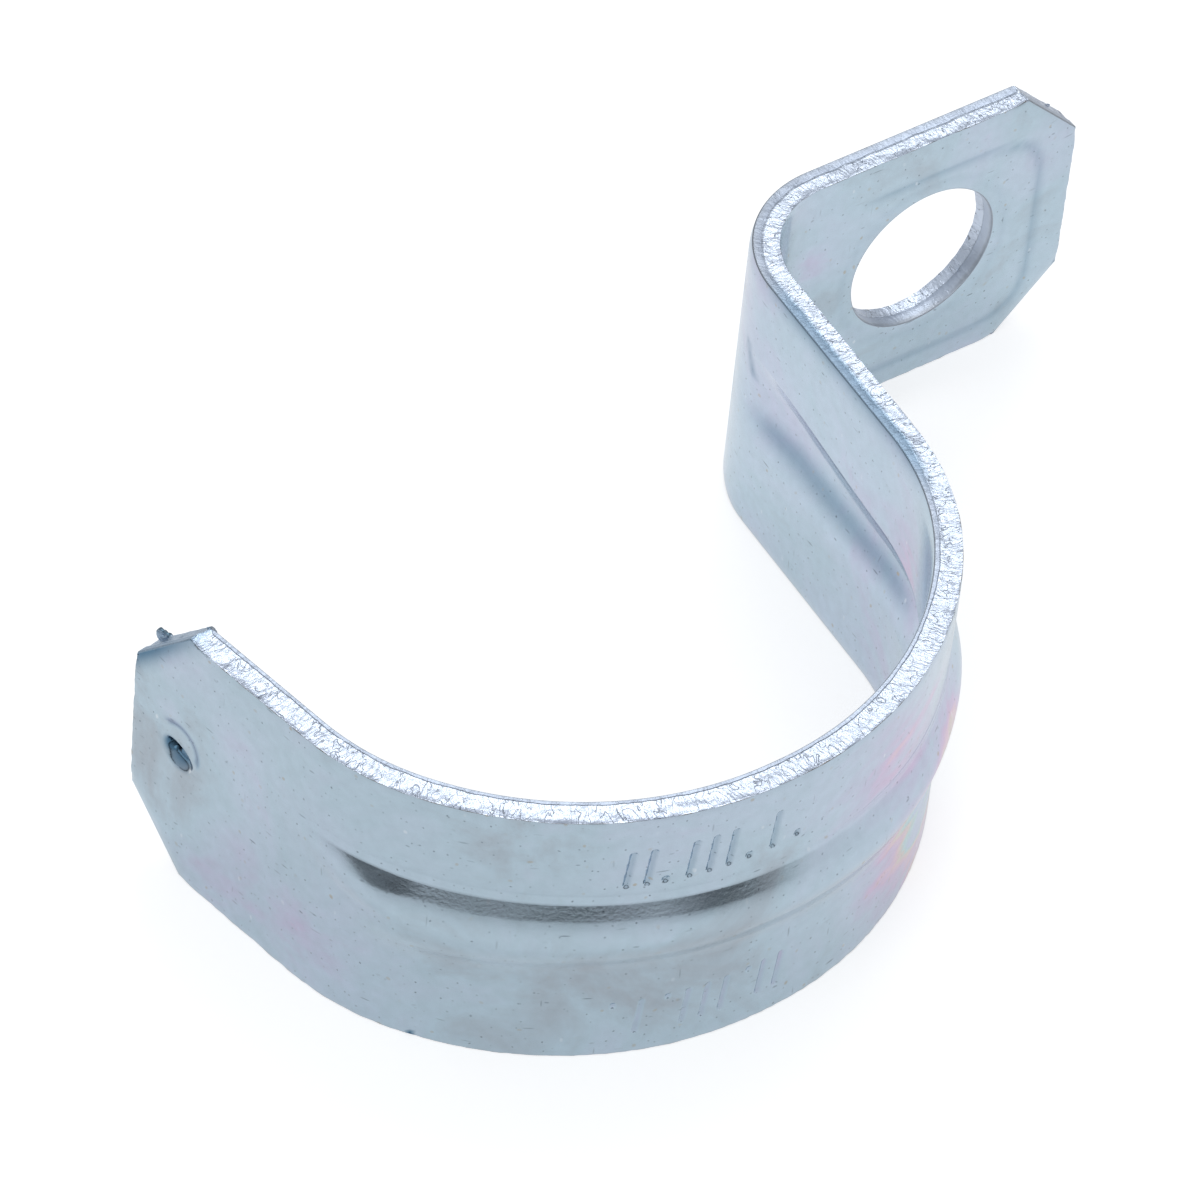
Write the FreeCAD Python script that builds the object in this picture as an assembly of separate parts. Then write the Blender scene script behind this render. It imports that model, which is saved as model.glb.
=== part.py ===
import FreeCAD, Part
import math
import os

os.makedirs("parts", exist_ok=True)

# One-hole conduit strap, pressed from one strip of steel. Millimetres.
# Z runs along the conduit, the strap stands on one sheared edge at z = 0.
# X runs along the mounting foot, +Y points at the wall. The origin is on the
# axis of the conduit seat. Inside face: the side that holds the conduit, which
# becomes the wall side of the foot. Outside face: the side the bolt head sits on.

# --- strip -------------------------------------------------------------------
STRIP_WIDTH = 29.3
THICKNESS = 2.7

# --- hook: radii of the inside face, and the angles they turn through ------------
SEAT_FRONT = 30.33  # from the conduit's axis to the front of the seat
SEAT_FLAT = 0.9  # the seat is very slightly flattened at its front
SEAT_RADIUS = 30.7
SEAT_ANGLE = 54.5  # to each side of the flat
NECK_SIDE_RADIUS = 25.1
NECK_SIDE_ANGLE = 31.7
LEG_SIDE_RADIUS = 22.7
LEG_SIDE_ANGLE = 25.6

# --- neck, foot and free leg ------------------------------------------------------
NECK_LENGTH = 19.9
FOOT_BEND_RADIUS = 8.55  # outside face, at the reverse bend
FOOT_TIP_X = 71.5
LEG_LENGTH = 20.2

# --- clipped corners -------------------------------------------------------------
FOOT_CLIP_ALONG = 6.15
FOOT_CLIP_ACROSS = 6.2
LEG_CLIP_ALONG = 6.25
LEG_CLIP_ACROSS = 6.7

# --- bolt hole --------------------------------------------------------------------
HOLE_X = 55.3
HOLE_RADIUS = 7.75
HOLE_EDGE_ROUND = 0.25  # drawn-in rim on the side the punch entered

# --- stiffening rib: raised on the outside face, hollow on the inside face --------
RIB_CENTRE_Z = 14.3
RIB_WIDTH = 10.6  # crease to crease
RIB_CROWN = 3.2  # flat part of the crown
RIB_HEIGHT = 1.4
RIB_LEG_END = 41.0  # where it dies out, along the strip from the front of the seat
RIB_LEG_FADE = 9.0
RIB_NECK_END = 68.0
RIB_NECK_FADE = 9.0
RIB_SINK = 0.25  # how far under the face the rib's surface starts
RIB_BACK = 1.0  # how far behind the face the lofted body is closed
RIB_STATION = 3.0  # spacing of the sections it is lofted through

# --- pilot mark near the free end, on the outside face ----------------------------
MARK_FROM_TIP = 5.7
MARK_Z = 15.9
MARK_RADIUS = 2.3
MARK_DEPTH = 0.15
PIT_ALONG = 0.5
PIT_ACROSS = -1.0
PIT_RADIUS = 1.2
PIT_FLOOR_RADIUS = 0.45
PIT_DEPTH = 0.8

# --- sheared edges -----------------------------------------------------------------
EDGE_ROUND = 0.3  # drawn-in side of the sheared edge, on the inside face

PAST_FACE = 2.0  # how far every cutter runs past the faces it cuts

V = FreeCAD.Vector


# The strip's middle line is walked as straight and round stretches. Each
# stretch is (length, turn in degrees); a straight one turns by nothing.
def stretch(radius, turn):
    return (radius * math.radians(abs(turn)), turn)


HALF = THICKNESS / 2
TO_NECK = [
    (SEAT_FLAT / 2, 0.0),
    stretch(SEAT_RADIUS + HALF, SEAT_ANGLE),
    stretch(NECK_SIDE_RADIUS + HALF, NECK_SIDE_ANGLE),
    (NECK_LENGTH, 0.0),
    stretch(FOOT_BEND_RADIUS + HALF, -(SEAT_ANGLE + NECK_SIDE_ANGLE)),
]
TO_LEG = [
    (SEAT_FLAT / 2, 0.0),
    stretch(SEAT_RADIUS + HALF, -SEAT_ANGLE),
    stretch(LEG_SIDE_RADIUS + HALF, -LEG_SIDE_ANGLE),
    (LEG_LENGTH, 0.0),
]
START = V(0, -SEAT_FRONT - HALF, 0)


def walk(stretches, heading, distance=None):
    """Point and heading after a distance along the stretches, or at every joint."""
    x, y, h = START.x, START.y, heading
    stops = [(x, y, h)]
    left = distance
    for length, turn in stretches:
        part = length if left is None else min(length, max(left, 0.0))
        bend = math.radians(turn) * part / length
        if abs(turn) < 1e-9:
            x += part * math.cos(h)
            y += part * math.sin(h)
        else:
            radius = length / math.radians(turn)
            x += radius * (math.sin(h + bend) - math.sin(h))
            y -= radius * (math.cos(h + bend) - math.cos(h))
        h += bend
        stops.append((x, y, h))
        if left is not None:
            left -= part
            if left <= 0:
                break
    return stops


def middle(s):
    """Point on the middle line and the strip's heading, s mm from the front, + towards the neck."""
    if s >= 0:
        return walk(TO_NECK, 0.0, s)[-1] if s > 0 else (START.x, START.y, 0.0)
    x, y, h = walk(TO_LEG, math.pi, -s)[-1]
    return (x, y, h - math.pi)


def place(s, inward, z):
    """A point of the strip: s along it, inward from its middle (towards the conduit), z across it."""
    x, y, h = middle(s)
    return V(x - inward * math.sin(h), y + inward * math.cos(h), z)


NECK_SUM = sum(length for length, turn in TO_NECK)
LEG_SUM = sum(length for length, turn in TO_LEG)
FOOT_START_X = walk(TO_NECK, 0.0)[-1][0]
FOOT_BACK_Y = walk(TO_NECK, 0.0)[-1][1] + HALF
FOOT_FLAT = FOOT_TIP_X - FOOT_START_X
TO_NECK.append((FOOT_FLAT, 0.0))


# --- the plain bent strip -------------------------------------------------------------
def side_edges(inward):
    """The strip's edge curve at a distance inward from its middle, free end to foot tip."""
    stops = []
    run = 0.0
    for length, turn in TO_LEG:
        stops.append((-run, -(run + length), turn))
        run += length
    stops = [(b, a, turn) for a, b, turn in reversed(stops)]
    run = 0.0
    for length, turn in TO_NECK:
        stops.append((run, run + length, turn))
        run += length
    edges = []
    for a, b, turn in stops:
        first, last = place(a, inward, 0), place(b, inward, 0)
        if abs(turn) < 1e-9:
            edges.append(Part.makeLine(first, last))
        else:
            edges.append(Part.Arc(first, place((a + b) / 2, inward, 0), last).toShape())
    return edges


inside = side_edges(HALF)
outside = side_edges(-HALF)
tip_a = Part.makeLine(inside[0].Vertexes[0].Point, outside[0].Vertexes[0].Point)
tip_b = Part.makeLine(inside[-1].Vertexes[-1].Point, outside[-1].Vertexes[-1].Point)
outline = Part.Wire(Part.__sortEdges__(inside + outside + [tip_a, tip_b]))
strip = Part.Face(outline).extrude(V(0, 0, STRIP_WIDTH))


# --- clipped corners, cut straight through the strip ---------------------------------------
def corner_cut(s_tip, along, z_edge, across):
    """A three-cornered prism that takes one corner off the end of the strip at s_tip.

    along is signed: from the clip's start on the long edge to the tip. across is how far
    the clip reaches across the end, signed away from the edge at z_edge.
    """
    slope = across / along
    beyond = math.copysign(PAST_FACE, along)
    rise = math.copysign(PAST_FACE, -across)
    corners = [
        (beyond, across + slope * beyond),
        (-along + rise / slope, rise),
        (beyond, rise),
    ]
    x, y, h = middle(s_tip)
    ahead = V(math.cos(h), math.sin(h), 0)
    side = V(-math.sin(h), math.cos(h), 0) * (HALF + PAST_FACE)
    tip = V(x, y, z_edge)
    points = [tip + ahead * s + V(0, 0, z) - side for s, z in corners]
    return Part.Face(Part.makePolygon(points + points[:1])).extrude(side * 2)


foot_tip = NECK_SUM + FOOT_FLAT
leg_tip = -LEG_SUM
cuts = []
for z_edge, sign in ((STRIP_WIDTH, -1), (0.0, 1)):
    cuts.append(corner_cut(foot_tip, FOOT_CLIP_ALONG, z_edge, sign * FOOT_CLIP_ACROSS))
    cuts.append(corner_cut(leg_tip, -LEG_CLIP_ALONG, z_edge, sign * LEG_CLIP_ACROSS))
strip = strip.cut(cuts[0].fuse(cuts[1:]))

# --- drawn-in edge on the inside face, all along both long edges -----------------------------
long_edges = []
for edge in strip.Edges:
    mid = edge.valueAt((edge.FirstParameter + edge.LastParameter) / 2)
    ends = [v.Point for v in edge.Vertexes]
    flat = all(abs(p.z - mid.z) < 1e-6 for p in ends)
    if flat and min(abs(mid.z), abs(mid.z - STRIP_WIDTH)) < 1e-6:
        if any(e.distToShape(Part.Vertex(V(mid.x, mid.y, 0)))[0] < 1e-4 for e in inside):
            long_edges.append(edge)
strip = strip.makeFillet(EDGE_ROUND, long_edges)


# --- stiffening rib ---------------------------------------------------------------------
# The rib's surface starts a little under the strip's face and rises through it, so it
# meets the face at a clean crease all round.
CREASE_LEVEL = RIB_SINK / (RIB_HEIGHT + RIB_SINK)
CREASE_AT = math.acos(2 * CREASE_LEVEL - 1) / math.pi
FLANK = (RIB_WIDTH - RIB_CROWN) / 2 / CREASE_AT
FADE_OVER = 0.0
while 3 * FADE_OVER ** 2 - 2 * FADE_OVER ** 3 < CREASE_LEVEL:
    FADE_OVER += 0.001
LEG_END = -RIB_LEG_END - RIB_LEG_FADE * FADE_OVER / (1 - FADE_OVER)
NECK_END = RIB_NECK_END + RIB_NECK_FADE * FADE_OVER / (1 - FADE_OVER)


def swell(s, w):
    """Height of the rib's surface over the face, s along the strip and w across it."""
    a = (s - LEG_END) / (RIB_LEG_FADE / (1 - FADE_OVER))
    b = (NECK_END - s) / (RIB_NECK_FADE / (1 - FADE_OVER))
    share = max(0.0, min(1.0, a, b))
    fade = 3 * share ** 2 - 2 * share ** 3
    fall = max(0.0, min(1.0, (abs(w) - RIB_CROWN / 2) / FLANK))
    across = 0.5 * (1 + math.cos(math.pi * fall))
    return (RIB_HEIGHT + RIB_SINK) * fade * across - RIB_SINK


def rib_section(s, base):
    """Closed section across the rib: the swell in front, a straight line behind the face."""
    half = RIB_CROWN / 2 + FLANK
    low = place(s, base + RIB_BACK, RIB_CENTRE_Z - half)
    high = place(s, base + RIB_BACK, RIB_CENTRE_Z + half)
    count = 16
    hump = []
    for i in range(count + 1):
        w = -half + 2 * half * i / count
        hump.append(place(s, base - swell(s, w), RIB_CENTRE_Z + w))
    curve = Part.BSplineCurve()
    curve.interpolate(hump)
    return Part.Wire([
        Part.makeLine(low, hump[0]),
        curve.toShape(),
        Part.makeLine(hump[-1], high),
        Part.makeLine(high, low),
    ])


def rib_body(base):
    """The rib as a smooth loft along the strip, on the face at that distance from its middle."""
    count = int(round((NECK_END - LEG_END) / RIB_STATION))
    wires = []
    for i in range(count + 1):
        wires.append(rib_section(LEG_END + (NECK_END - LEG_END) * i / count, base))
    return Part.makeLoft(wires, True, False, False)


raised = rib_body(-HALF)
hollow = rib_body(HALF)
strap = strip.fuse(raised).cut(hollow)

# --- bolt hole, with the drawn-in rim on the outside face ------------------------------------
foot_front_y = FOOT_BACK_Y - THICKNESS
hole_start = V(HOLE_X, foot_front_y - PAST_FACE, STRIP_WIDTH / 2)
hole = Part.makeCylinder(HOLE_RADIUS, THICKNESS + 2 * PAST_FACE, hole_start, V(0, 1, 0))
strap = strap.cut(hole)
rims = []
for edge in strap.Edges:
    if isinstance(edge.Curve, Part.Circle) and abs(edge.Curve.Radius - HOLE_RADIUS) < 1e-6:
        if abs(edge.Curve.Center.y - foot_front_y) < 1e-6:
            rims.append(edge)
strap = strap.makeFillet(HOLE_EDGE_ROUND, rims)

# --- pilot mark and its pit near the free end -------------------------------------------------
s_mark = leg_tip + MARK_FROM_TIP
x, y, h = middle(s_mark)
inward = V(-math.sin(h), math.cos(h), 0)
centre = place(s_mark, -HALF, MARK_Z)
mark = Part.makeCylinder(MARK_RADIUS, PAST_FACE + MARK_DEPTH, centre - inward * PAST_FACE, inward)
pit_centre = place(s_mark + PIT_ALONG, -HALF, MARK_Z + PIT_ACROSS)
flare = (PIT_RADIUS - PIT_FLOOR_RADIUS) / PIT_DEPTH * PAST_FACE
pit_start = pit_centre - inward * PAST_FACE
pit = Part.makeCone(PIT_RADIUS + flare, PIT_FLOOR_RADIUS, PIT_DEPTH + PAST_FACE, pit_start, inward)
strap = strap.cut(mark).cut(pit)

strap = strap.removeSplitter()
assert strap.isValid(), "the strap isn't a valid solid"
assert len(strap.Solids) == 1, "the strap must be one solid"
strap = strap.Solids[0]
box = strap.BoundBox
print("strap", round(strap.Volume, 1), "mm3")
print("x", round(box.XMin, 3), round(box.XMax, 3), "y", round(box.YMin, 3), round(box.YMax, 3), "z", box.ZMin, box.ZMax)
print("foot starts at x", round(FOOT_START_X, 3))
print("foot back at y", round(FOOT_BACK_Y, 3), "leg tip", [round(v, 3) for v in middle(leg_tip)[:2]])
print("strip length from the front: neck side", round(foot_tip, 2), "leg side", round(-leg_tip, 2))
strap.exportStep("parts/strap.step")
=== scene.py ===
# %% [markdown]
# # A pressed conduit strap, from flat blank to finished part
# The real strap is one strip of steel. It is sheared to length, its corners are clipped, a bolt hole is
# punched, a rib is pressed along its middle, and last of all it is bent round a former and zinc plated.
# We build it in the same order, because each step is easy while the strip is still flat.

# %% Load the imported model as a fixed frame
import bpy
import math
from mathutils import Matrix, Vector


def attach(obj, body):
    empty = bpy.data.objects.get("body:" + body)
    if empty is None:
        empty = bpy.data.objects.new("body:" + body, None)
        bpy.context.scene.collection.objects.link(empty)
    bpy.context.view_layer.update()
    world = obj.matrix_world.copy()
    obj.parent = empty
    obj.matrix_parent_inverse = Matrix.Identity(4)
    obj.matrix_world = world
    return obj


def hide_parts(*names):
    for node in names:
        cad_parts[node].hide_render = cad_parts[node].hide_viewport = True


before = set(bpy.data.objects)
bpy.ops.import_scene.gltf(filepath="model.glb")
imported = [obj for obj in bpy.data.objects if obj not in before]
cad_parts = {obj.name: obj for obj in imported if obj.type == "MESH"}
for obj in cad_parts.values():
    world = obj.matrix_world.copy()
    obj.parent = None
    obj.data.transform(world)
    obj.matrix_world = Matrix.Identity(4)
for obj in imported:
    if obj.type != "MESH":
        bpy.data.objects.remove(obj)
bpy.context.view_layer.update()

# %% [markdown]
# ## Sizes
# All sizes are the real ones, in millimetres, and one value turns them to Blender's metres. A distance
# "along" runs along the strip from the front of the conduit seat: positive towards the bolt foot,
# negative towards the free end. A distance "across" runs over the strip's width, from its lower edge.

# %% Sizes of the strip
MM = 0.001
WIDTH = 29.3
THICKNESS = 2.7
HALF = THICKNESS / 2
SEAT_FRONT = 30.33
FREE_END = -61.88
FOOT_TIP = 109.27
LENGTH = FOOT_TIP - FREE_END
FOOT_TIP_X = 71.5
HOLE_X = 55.3
HOLE_ALONG = FOOT_TIP - (FOOT_TIP_X - HOLE_X)
HOLE_RADIUS = 7.75
print("flat strip:", round(LENGTH, 2), "x", WIDTH, "x", THICKNESS, "mm")


def edit_mode(on):
    """Go into edit mode or leave it."""
    bpy.ops.object.mode_set(mode="EDIT" if on else "OBJECT")


def tidy_selection():
    """Leave edit mode and select nothing, so that the next operator acts only on what it is given."""
    if bpy.context.object and bpy.context.object.mode != "OBJECT":
        edit_mode(False)
    bpy.ops.object.select_all(action="DESELECT")


def make_active(piece):
    """Select this piece alone, so that operators and modifiers work on it."""
    tidy_selection()
    piece.select_set(True)
    bpy.context.view_layer.objects.active = piece


# %% [markdown]
# ## The flat blank
# The blank is a flat rectangle, and a plain grid is the easiest mesh to press and bend later. It stands
# on its long edge. The rib's two creases are the sharpest lines on the strap, so the grid's rows lie
# close together there and follow the creases, which wander a little as the press tool is worn.
# Elsewhere the rows can lie wider apart.

# %% Where the creases run
CREASE_LOW = 9.7
CREASE_HIGH = 19.2


def smooth_step(value):
    """Ease from 0 to 1 and hold there on both sides."""
    value = max(0.0, min(1.0, value))
    return value * value * (3 - 2 * value)


def creases(along):
    """Heights of the rib's lower and upper crease at a place along the strip, in millimetres."""
    dip = 1.0 * smooth_step((along + 20) / 32)
    climb = 2.0 * smooth_step((along - 42) / 24)
    high = CREASE_HIGH + 0.25 - dip + climb
    low = CREASE_LOW - 1.2 * smooth_step((-along - 12) / 26)
    settle = smooth_step((78 - along) / 8)
    return CREASE_LOW + (low - CREASE_LOW) * settle, CREASE_HIGH + (high - CREASE_HIGH) * settle


# %% Row heights
# Each zone: where it starts and ends across the strip, and its number of rows.
ROW_ZONES = [
    (0.0, 7.6, 17),
    (7.6, 10.6, 15),
    (10.6, 17.6, 15),
    (17.6, 20.4, 20),
    (20.4, WIDTH, 20),
]
heights = [0.0]
for start, end, count in ROW_ZONES:
    heights += [start + (end - start) * (i + 1) / count for i in range(count)]
print("rows:", len(heights) - 1)


def follow_creases(along, height):
    """Shift a row up or down so that it runs along the creases."""
    low, high = creases(along)
    if height < CREASE_LOW:
        return height * low / CREASE_LOW
    if height > CREASE_HIGH:
        return WIDTH - (WIDTH - height) * (WIDTH - high) / (WIDTH - CREASE_HIGH)
    return low + (height - CREASE_LOW) * (high - low) / (CREASE_HIGH - CREASE_LOW)


# %% Add the grid
COLUMNS = 320
ROWS = len(heights) - 1
tidy_selection()
bpy.ops.mesh.primitive_grid_add(
    x_subdivisions=COLUMNS,
    y_subdivisions=ROWS,
    size=1,
    location=(LENGTH / 2 * MM, 0, WIDTH / 2 * MM),
    rotation=(math.radians(90), 0, 0),
)
strap = bpy.context.object
strap.name = "strap_plated"
strap.data.name = "strap_plated"
strap.scale = (LENGTH * MM, WIDTH * MM, 1)
bpy.ops.object.transform_apply(location=True, rotation=True, scale=True)
for vertex in strap.data.vertices:
    row = round(vertex.co.z / (WIDTH * MM) * ROWS)
    vertex.co.z = follow_creases(vertex.co.x / MM + FREE_END, heights[row]) * MM
print("blank:", len(strap.data.polygons), "faces, size", [round(v / MM, 2) for v in strap.dimensions])

# %% [markdown]
# ## Clipped corners
# All four corners are cut off at a slant so that they catch nobody's hand. A bisect slices the mesh
# along a plane and clears what lies outside it, just as the clipping die does. Points that lie almost
# on the plane are moved onto it first, so that the cut leaves no needle-thin faces. Points on the
# strip's own border slide along it, which keeps the border straight.

# %% Clip the corners
# Each clip: its end of the strip, that end's place and direction, and the clip's size along and across.
CLIPS = [
    ("foot", FOOT_TIP, 1, 6.15, 6.2),
    ("free end", FREE_END, -1, 6.25, 6.7),
]
SNAP = 0.16
ON_BORDER = 1e-6
for name, tip, way, clip_along, clip_across in CLIPS:
    for edge, up in ((WIDTH, 1), (0.0, -1)):
        point = Vector((tip - FREE_END - way * clip_along, 0, edge)) * MM
        normal = Vector((way * clip_across, 0, up * clip_along)).normalized()
        for vertex in strap.data.vertices:
            off = (vertex.co - point).dot(normal)
            if abs(off) > SNAP * MM:
                continue
            if min(vertex.co.z, WIDTH * MM - vertex.co.z) < ON_BORDER:
                vertex.co.x -= off / normal.x
            elif min(vertex.co.x, LENGTH * MM - vertex.co.x) < ON_BORDER:
                vertex.co.z -= off / normal.z
            else:
                vertex.co -= normal * off
        edit_mode(True)
        bpy.ops.mesh.select_all(action="SELECT")
        bpy.ops.mesh.bisect(plane_co=point, plane_no=normal, clear_outer=True, threshold=1e-6)
        edit_mode(False)
print("after clipping:", len(strap.data.polygons), "faces")

# %% [markdown]
# ## The bolt hole
# The real hole is punched. A Boolean would cut it too, but would leave long thin faces that shade
# badly. So a square patch of faces is taken out round the hole's centre, and the border of the gap is
# extruded inwards ring by ring. Each ring is a little less square and a little more round than the
# last.

# %% Open a square gap
hole_centre = Vector((HOLE_ALONG - FREE_END, 0, WIDTH / 2)) * MM
PATCH = 10.2
PATCH_SLACK = 0.6
mesh = strap.data


def from_hole(point):
    """Where a point of the flat strip lies as seen from the hole's centre, in millimetres."""
    return (point - hole_centre) / MM


edit_mode(True)
bpy.ops.mesh.select_mode(type="FACE")
bpy.ops.mesh.select_all(action="DESELECT")
edit_mode(False)
for face in mesh.polygons:
    off = from_hole(face.center)
    face.select = max(abs(off.x), abs(off.z)) < PATCH
edit_mode(True)
bpy.ops.mesh.delete(type="FACE")
bpy.ops.mesh.select_mode(type="EDGE")
bpy.ops.mesh.select_non_manifold(extend=False)
edit_mode(False)
for edge in mesh.edges:
    middle = from_hole((mesh.vertices[edge.vertices[0]].co + mesh.vertices[edge.vertices[1]].co) / 2)
    if max(abs(middle.x), abs(middle.z)) > PATCH + PATCH_SLACK:
        edge.select = False
print("border edges of the gap:", sum(edge.select for edge in mesh.edges))

# %% Work the gap round, ring by ring
RINGS = 6
for left in range(RINGS, 0, -1):
    edit_mode(True)
    bpy.ops.mesh.extrude_edges_move()
    edit_mode(False)
    for vertex in mesh.vertices:
        if vertex.select:
            off = from_hole(vertex.co)
            vertex.co = hole_centre + off.lerp(off.normalized() * HOLE_RADIUS, 1 / left) * MM
print("hole loop of", sum(vertex.select for vertex in mesh.vertices), "points")
print("faces with the hole's rings:", len(mesh.polygons))

# %% [markdown]
# ## Thickness
# Solidify turns the sheet into steel plate, with half of the thickness on each side. Its rim faces get
# a material slot of their own, because a sheared edge looks nothing like the rolled face beside it.

# %% Give the sheet its thickness
def add_modifier(piece, kind, **settings):
    """Add a modifier with these settings and apply it at once."""
    modifier = piece.modifiers.new(kind.title(), kind)
    for key, value in settings.items():
        setattr(modifier, key, value)
    make_active(piece)
    bpy.ops.object.modifier_apply(modifier=modifier.name)


for slot in ("rolled face", "sheared edge"):
    strap.data.materials.append(bpy.data.materials.new(slot))
add_modifier(strap, "SOLIDIFY", thickness=THICKNESS * MM, offset=0, use_rim=True, material_offset_rim=1)
print("plate:", len(strap.data.polygons), "faces, thickness", round(strap.dimensions.y / MM, 3), "mm")

# %% [markdown]
# ## Edges
# A shear first draws the steel in on the side it enters, then cuts a smooth band, and then tears the
# rest. The long edges were entered from the conduit side, the hole and the clipped corners from the
# outside. Here every edge gets a small bevel, a little larger on the side of entry. The draw itself is
# pressed in later.

# %% Which side a cut enters from
def clip_distance(along, across):
    """How far a point of the flat strip lies inside the nearest clipped corner's cut."""
    distances = []
    for name, tip, way, clip_along, clip_across in CLIPS:
        for edge, up in ((WIDTH, 1), (0.0, -1)):
            length = math.hypot(clip_along, clip_across)
            from_corner = (edge - across) * up
            off = (tip - along) * way * clip_across + (from_corner - clip_across) * clip_along
            distances.append(off / length)
    return min(distances)


def hole_distance(along, across):
    """How far a point of the flat strip lies from the edge of the bolt hole."""
    return math.hypot(along - HOLE_ALONG, across - WIDTH / 2) - HOLE_RADIUS


BY_THE_HOLE = 1.2
ON_A_CLIP = 0.15


def enters_outside(along, across):
    """True where the cut beside this point was made from the strap's outside face."""
    return hole_distance(along, across) < BY_THE_HOLE or clip_distance(along, across) < ON_A_CLIP


print("the strip's middle lies", round(clip_distance(0, WIDTH / 2), 1), "mm inside the nearest clip")

# %% Round the edges
def select_rims(outside, drawn_in):
    """Select edges between a face and a sheared rim, by their side and by how they were cut."""
    data = strap.data
    edit_mode(False)
    slots = {}
    for face in data.polygons:
        for key in face.edge_keys:
            slots.setdefault(key, set()).add(face.material_index)
    count = 0
    for edge in data.edges:
        edge.select = False
        if len(slots.get(edge.key, ())) == 2:
            ends = [data.vertices[index].co for index in edge.vertices]
            middle = (ends[0] + ends[1]) / 2 / MM
            is_outside = middle.y < 0
            is_drawn_in = enters_outside(middle.x + FREE_END, middle.z) == is_outside
            edge.select = is_outside == outside and is_drawn_in == drawn_in
            count += edge.select
    edit_mode(True)
    return count


# Each round: on the outside face or not, on the side that is drawn in or not, radius and steps.
ROUNDS = [
    (False, True, 0.12, 3),
    (True, True, 0.1, 3),
    (False, False, 0.07, 2),
    (True, False, 0.07, 2),
]
make_active(strap)
edit_mode(True)
bpy.ops.mesh.select_mode(type="EDGE")
for outside, drawn_in, radius, steps in ROUNDS:
    bpy.ops.mesh.select_all(action="DESELECT")
    count = select_rims(outside, drawn_in)
    bpy.ops.mesh.bevel(offset=radius * MM, segments=steps, affect="EDGES", material=1)
    print("rounded", count, "edges to", radius, "mm")
edit_mode(False)

# %% [markdown]
# ## Rows on the cut edges
# The sheared rim is still one face wide, too coarse for torn steel. Bisecting the strip along planes
# parallel to its face adds rows there and nowhere else.

# %% Add rows to the rims
RIM_LEVELS = (-1.05, -0.75, -0.45, -0.15, 0.15, 0.45)
edit_mode(True)
for level in RIM_LEVELS:
    bpy.ops.mesh.select_all(action="SELECT")
    bpy.ops.mesh.bisect(plane_co=(0, level * MM, 0), plane_no=(0, 1, 0), threshold=1e-7)
edit_mode(False)
print("faces with rim rows:", len(strap.data.polygons))

# %% [markdown]
# ## Finer faces where small marks go
# Each band carries a short row of punched bars and dots, a plain tally that spells nothing. The free
# end has a pilot mark, and painted blue shade lies on and beside its upper clip. All of these are too
# fine for the grid, so only the outside faces under them are subdivided.

# %% Places of the small marks
MARK = (FREE_END + 5.7, 15.9)
PIT = (MARK[0], MARK[1] - 1.15)
BAR_HEIGHT = 3.7
DOT_HEIGHT = 0.15
BAR_LEAN = 0.1
BAR_STEPS = (0.0, 1.7, 5.2, 6.9, 8.6, 12.6)
DOT_STEPS = (3.2, 10.4, 15.0)
# Each row: where it starts along and across, its climb per millimetre, its direction and its depth.
TALLY_ROWS = [
    ("upper band", -13.6, 21.4, 0.04, 1, 0.25),
    ("lower band", 1.4, 6.9, -0.04, -1, 0.15),
]


def tally_strokes():
    """Each punched stroke as (start, end, depth) on the flat strip."""
    strokes = []
    for name, along, across, climb, way, depth in TALLY_ROWS:
        for step in BAR_STEPS + DOT_STEPS:
            start = Vector((along + way * step, across + climb * step))
            length = BAR_HEIGHT if step in BAR_STEPS else DOT_HEIGHT
            end = start + Vector((way * BAR_LEAN, way)) * length
            strokes.append((start, end, depth))
    return strokes


STROKES = tally_strokes()
print("punched strokes:", len(STROKES))

# %% Subdivide under the small marks
def stroke_distance(along, across, stroke):
    """How far a point of the flat strip lies from a stroke's middle line."""
    start, end, depth = stroke
    run = end - start
    place = Vector((along, across))
    share = max(0.0, min(1.0, (place - start).dot(run) / run.length_squared))
    return (place - start - run * share).length


def subdivide_outside(near, cuts):
    """Subdivide the outside faces whose flat place passes the test."""
    edit_mode(True)
    bpy.ops.mesh.select_mode(type="FACE")
    edit_mode(False)
    for face in strap.data.polygons:
        place = face.center / MM
        face.select = face.normal.y < -0.9 and near(place.x + FREE_END, place.z)
    edit_mode(True)
    bpy.ops.mesh.subdivide(number_cuts=cuts)
    edit_mode(False)


def near_small_mark(along, across):
    """True by the pilot mark, beside the free end's upper clip and by the punched strokes."""
    at_mark = math.hypot(along - MARK[0], across - MARK[1]) < 3.2
    at_clip = along < FREE_END + 8.5 and across > 19 and clip_distance(along, across) < 2.5
    return at_mark or at_clip or any(stroke_distance(along, across, stroke) < 0.7 for stroke in STROKES)


subdivide_outside(near_small_mark, 3)
print("faces with the small marks':", len(strap.data.polygons))

# %% [markdown]
# ## Burrs at the clipped corners
# The clipping die has pushed small lumps of steel out on the far side of its cuts. Sculpting them would
# work too, but a lump needs no exact shape. So each one is a ball that is squashed, roughened with a
# Displace modifier, set half into the steel, and joined to the strap.

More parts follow.
